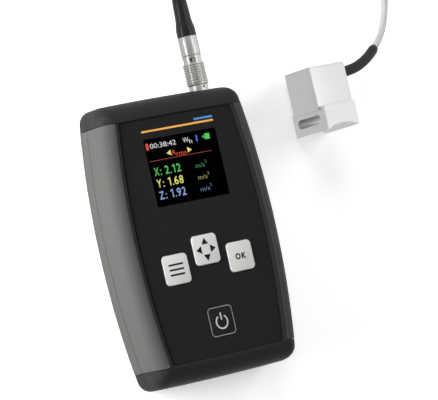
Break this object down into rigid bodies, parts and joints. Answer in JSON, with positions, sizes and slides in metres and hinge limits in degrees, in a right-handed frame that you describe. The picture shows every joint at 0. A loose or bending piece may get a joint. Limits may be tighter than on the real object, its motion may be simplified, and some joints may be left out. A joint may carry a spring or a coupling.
{
  "type": "handheld vibration meter",
  "caption": "Handheld vibration meter with a colour display, square keys, rubber side grips, and a triaxial hand-arm sensor on a handle adapter, joined by a cable with a push-pull plug.",
  "frame": {"origin": "centre of the bottom of the meter's box, on the surface that its back lies on; the plug, the cable and the sensor aren't counted", "axes": "+X across the front to the reader's right, +Y along the meter to the end with the socket, +Z out of the front"},
  "size_m": [0.2217, 0.2572, 0.03],
  "materials": {
    "shell_plastic": "fine matt texture",
    "grip_rubber": "soft overmoulded grip",
    "seal_rubber": "plain cord seal",
    "panel_film": "textured polyester film",
    "window_clear": "clear window over a dark display",
    "frame_black": "plain",
    "display_body": "plain",
    "key_light": "matt",
    "key_dark": "matt",
    "mat_silicone": "plain",
    "contact_gold": "plated",
    "board_green": "solder mask",
    "screw_dark": "blackened",
    "screw_bright": "plated",
    "cell_wrap": "shrink film",
    "pad_foam": "foam",
    "header_black": "plain",
    "connector_nickel": "satin nickel plating",
    "collet_brass": "plain",
    "insulator": "plain",
    "wire": "coloured insulation",
    "relief_black": "glossy moulding",
    "cable_grey": "smooth jacket",
    "sensor_steel": "satin ground",
    "block_steel": "ground",
    "crystal": "fired"
  },
  "bodies": {
    "meter": {"front_shell": "shell_plastic", "back_shell": "shell_plastic", "front_grip_left": "grip_rubber", "front_grip_right": "grip_rubber", "back_grip_left": "grip_rubber", "back_grip_right": "grip_rubber", "case_seal": "seal_rubber", "case_screws": "screw_dark", "front_panel": "panel_film", "display_window": "window_clear", "display_frame": "frame_black", "display_module": "display_body", "main_board": "board_green", "board_screws": "screw_bright", "keypad_mat": "mat_silicone", "key_contacts": "contact_gold", "battery_pack": "cell_wrap", "battery_pad": "pad_foam", "input_board": "board_green", "board_header": "header_black", "socket_body": "connector_nickel", "socket_nut": "connector_nickel", "socket_insert": "insulator", "socket_pins": "contact_gold", "socket_leads": "wire", "plug_body": "connector_nickel", "plug_insert": "insulator", "plug_pins": "contact_gold", "collet": "collet_brass", "collet_nut": "connector_nickel", "bend_relief": "relief_black", "meter_lead": "cable_grey", "cable_coil": "cable_grey", "sensor_lead": "cable_grey", "sensor_boot": "relief_black", "sensor_housing": "sensor_steel", "sensor_base": "sensor_steel", "seismic_block": "block_steel", "sensing_element_x": "crystal", "sensing_element_y": "crystal", "sensing_element_z": "crystal", "handle_adapter": "sensor_steel", "adapter_screw": "screw_bright"},
    "menu_key": {"menu_key": "key_light"},
    "nav_key": {"nav_key": "key_light"},
    "ok_key": {"ok_key": "key_light"},
    "power_key": {"power_key": "key_dark"},
    "latch_sleeve": {"latch_sleeve": "connector_nickel"}
  },
  "joints": [
    {"name": "menu_key_press", "type": "slide", "parent": "meter", "child": "menu_key", "axis": [0, 0, -1], "range_m": [0, 0.0005], "stiffness_N_per_m": 2500},
    {"name": "nav_key_press", "type": "slide", "parent": "meter", "child": "nav_key", "axis": [0, 0, -1], "range_m": [0, 0.0005], "stiffness_N_per_m": 2500},
    {"name": "ok_key_press", "type": "slide", "parent": "meter", "child": "ok_key", "axis": [0, 0, -1], "range_m": [0, 0.0005], "stiffness_N_per_m": 2500},
    {"name": "power_key_press", "type": "slide", "parent": "meter", "child": "power_key", "axis": [0, 0, -1], "range_m": [0, 0.0005], "stiffness_N_per_m": 2500},
    {"name": "latch_sleeve_slide", "type": "slide", "parent": "meter", "child": "latch_sleeve", "axis": [0, 1, 0], "range_m": [0, 0.0012], "stiffness_N_per_m": 3000}
  ]
}
